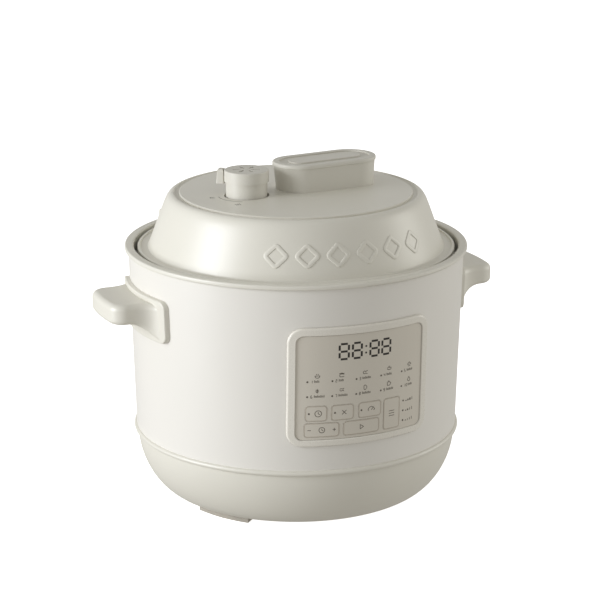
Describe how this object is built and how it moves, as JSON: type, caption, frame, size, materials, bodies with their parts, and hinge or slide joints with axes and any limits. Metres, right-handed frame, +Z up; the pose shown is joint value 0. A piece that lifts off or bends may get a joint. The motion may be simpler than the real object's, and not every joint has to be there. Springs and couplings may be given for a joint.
{
  "type": "electric pressure cooker",
  "caption": "Round countertop electric pressure cooker with domed bayonet lid, steam release knob, side grips, curved control panel and removable inner pot.",
  "frame": {"origin": "on the floor at the middle of the four feet, on the pot's axis", "axes": "+Z up along the pot's axis, -Y towards the control panel, +X to the right seen from the front"},
  "size_m": [0.352, 0.29, 0.2867],
  "materials": {
    "painted_housing": "warm off-white powder coat, matte",
    "shell_plastic": "warm off-white moulded PP, fine matte texture",
    "handle_plastic": "warm grey-white moulded ABS, satin",
    "panel_frame_plastic": "off-white moulded ABS, satin",
    "panel_plastic": "pale beige film over moulded plastic, matte",
    "stainless_steel": "brushed stainless steel",
    "galvanised_steel": "plain zinc-coated sheet",
    "nonstick_aluminium": "dark non-stick coating, satin",
    "cast_aluminium": "cast and turned aluminium",
    "silicone": "translucent white silicone",
    "foot_rubber": "grey rubber",
    "screw_steel": "bright plated steel",
    "brass": "nickelled brass",
    "black_plastic": "black moulded plastic",
    "circuit_board": "green solder mask",
    "led_resin": "clear resin",
    "wire_insulation": "PVC insulation"
  },
  "bodies": {
    "root": {"base_bowl": "shell_plastic", "bottom_cover": "galvanised_steel", "bottom_cover_screws": "screw_steel", "rubber_feet": "foot_rubber", "housing": "painted_housing", "panel_bezel": "panel_frame_plastic", "panel_plate": "panel_plastic", "control_board": "circuit_board", "display_module": "black_plastic", "tact_switches": "black_plastic", "indicator_leds": "led_resin", "right_side_handle": "shell_plastic", "left_side_handle": "shell_plastic", "side_handle_screws": "screw_steel", "collar": "shell_plastic", "lid_switch_housing": "shell_plastic", "lid_switch": "black_plastic", "outer_pot": "galvanised_steel", "locking_ring": "stainless_steel", "locking_ring_screws": "screw_steel", "heating_plate": "cast_aluminium", "heater_terminals": "brass", "heater_bracket": "galvanised_steel", "bracket_bolts": "screw_steel", "sensor_holder": "galvanised_steel", "sensor_spring": "stainless_steel", "thermal_fuse": "galvanised_steel", "inlet_socket": "black_plastic", "inlet_pins": "brass", "power_board": "circuit_board", "board_components": "black_plastic", "mains_leads": "wire_insulation", "heater_leads": "wire_insulation", "ribbon_cable": "wire_insulation"},
    "temperature_sensor": {"temperature_sensor": "stainless_steel"},
    "inner_pot": {"inner_pot": "nonstick_aluminium"},
    "sealing_ring": {"sealing_ring": "silicone"},
    "lid": {"lid_cover": "shell_plastic", "pressure_lid": "stainless_steel", "seal_rack": "stainless_steel", "lid_handle_body": "handle_plastic", "lid_handle_cap": "handle_plastic", "lid_handle_screws": "screw_steel", "lid_magnet": "stainless_steel", "steam_pipe": "stainless_steel", "steam_pipe_nut": "stainless_steel", "anti_block_shield": "stainless_steel"},
    "steam_knob": {"knob_cap": "handle_plastic", "knob_stem": "handle_plastic", "knob_weight": "stainless_steel"},
    "float_valve": {"float_valve": "stainless_steel", "float_seal": "silicone"},
    "key_delay": {"key_delay": "panel_plastic"},
    "key_cancel": {"key_cancel": "panel_plastic"},
    "key_pressure": {"key_pressure": "panel_plastic"},
    "key_texture": {"key_texture": "panel_plastic"},
    "key_start": {"key_start": "panel_plastic"},
    "key_time": {"key_time": "panel_plastic"}
  },
  "joints": [
    {"name": "pot_lift", "type": "slide", "parent": "root", "child": "inner_pot", "axis": [0, 0, 1], "range_m": [0, 0.17]},
    {"name": "lid_lift", "type": "slide", "parent": "inner_pot", "child": "sealing_ring", "axis": [0, 0, 1], "range_m": [0, 0.1]},
    {"name": "lid_turn", "type": "hinge", "parent": "sealing_ring", "child": "lid", "pos_m": [0, 0, 0.21], "axis": [0, 0, 1], "range_deg": [0, 30]},
    {"name": "knob_turn", "type": "hinge", "parent": "lid", "child": "steam_knob", "pos_m": [-0.04695, -0.00576, 0.27], "axis": [0, 0, 1], "range_deg": [0, 52]},
    {"name": "float_rise", "type": "slide", "parent": "lid", "child": "float_valve", "axis": [0, 0, 1], "range_m": [0, 0.004]},
    {"name": "sensor_press", "type": "slide", "parent": "root", "child": "temperature_sensor", "axis": [0, 0, -1], "range_m": [0, 0.002], "stiffness_N_per_m": 400, "springref_m": -0.001, "deforming": ["sensor_spring"]},
    {"name": "key_delay_press", "type": "slide", "parent": "root", "child": "key_delay", "axis": [0, 1, 0], "range_m": [0, 0.0005], "stiffness_N_per_m": 500},
    {"name": "key_cancel_press", "type": "slide", "parent": "root", "child": "key_cancel", "axis": [0, 1, 0], "range_m": [0, 0.0005], "stiffness_N_per_m": 500},
    {"name": "key_pressure_press", "type": "slide", "parent": "root", "child": "key_pressure", "axis": [0, 1, 0], "range_m": [0, 0.0005], "stiffness_N_per_m": 500},
    {"name": "key_texture_press", "type": "slide", "parent": "root", "child": "key_texture", "axis": [0, 1, 0], "range_m": [0, 0.0005], "stiffness_N_per_m": 500},
    {"name": "key_start_press", "type": "slide", "parent": "root", "child": "key_start", "axis": [0, 1, 0], "range_m": [0, 0.0005], "stiffness_N_per_m": 500},
    {"name": "key_time_rock", "type": "hinge", "parent": "root", "child": "key_time", "pos_m": [-0.03485, -0.1325, 0.096], "axis": [0, 0, 1], "range_deg": [-1.5, 1.5], "stiffness_Nm_per_rad": 0.8}
  ]
}
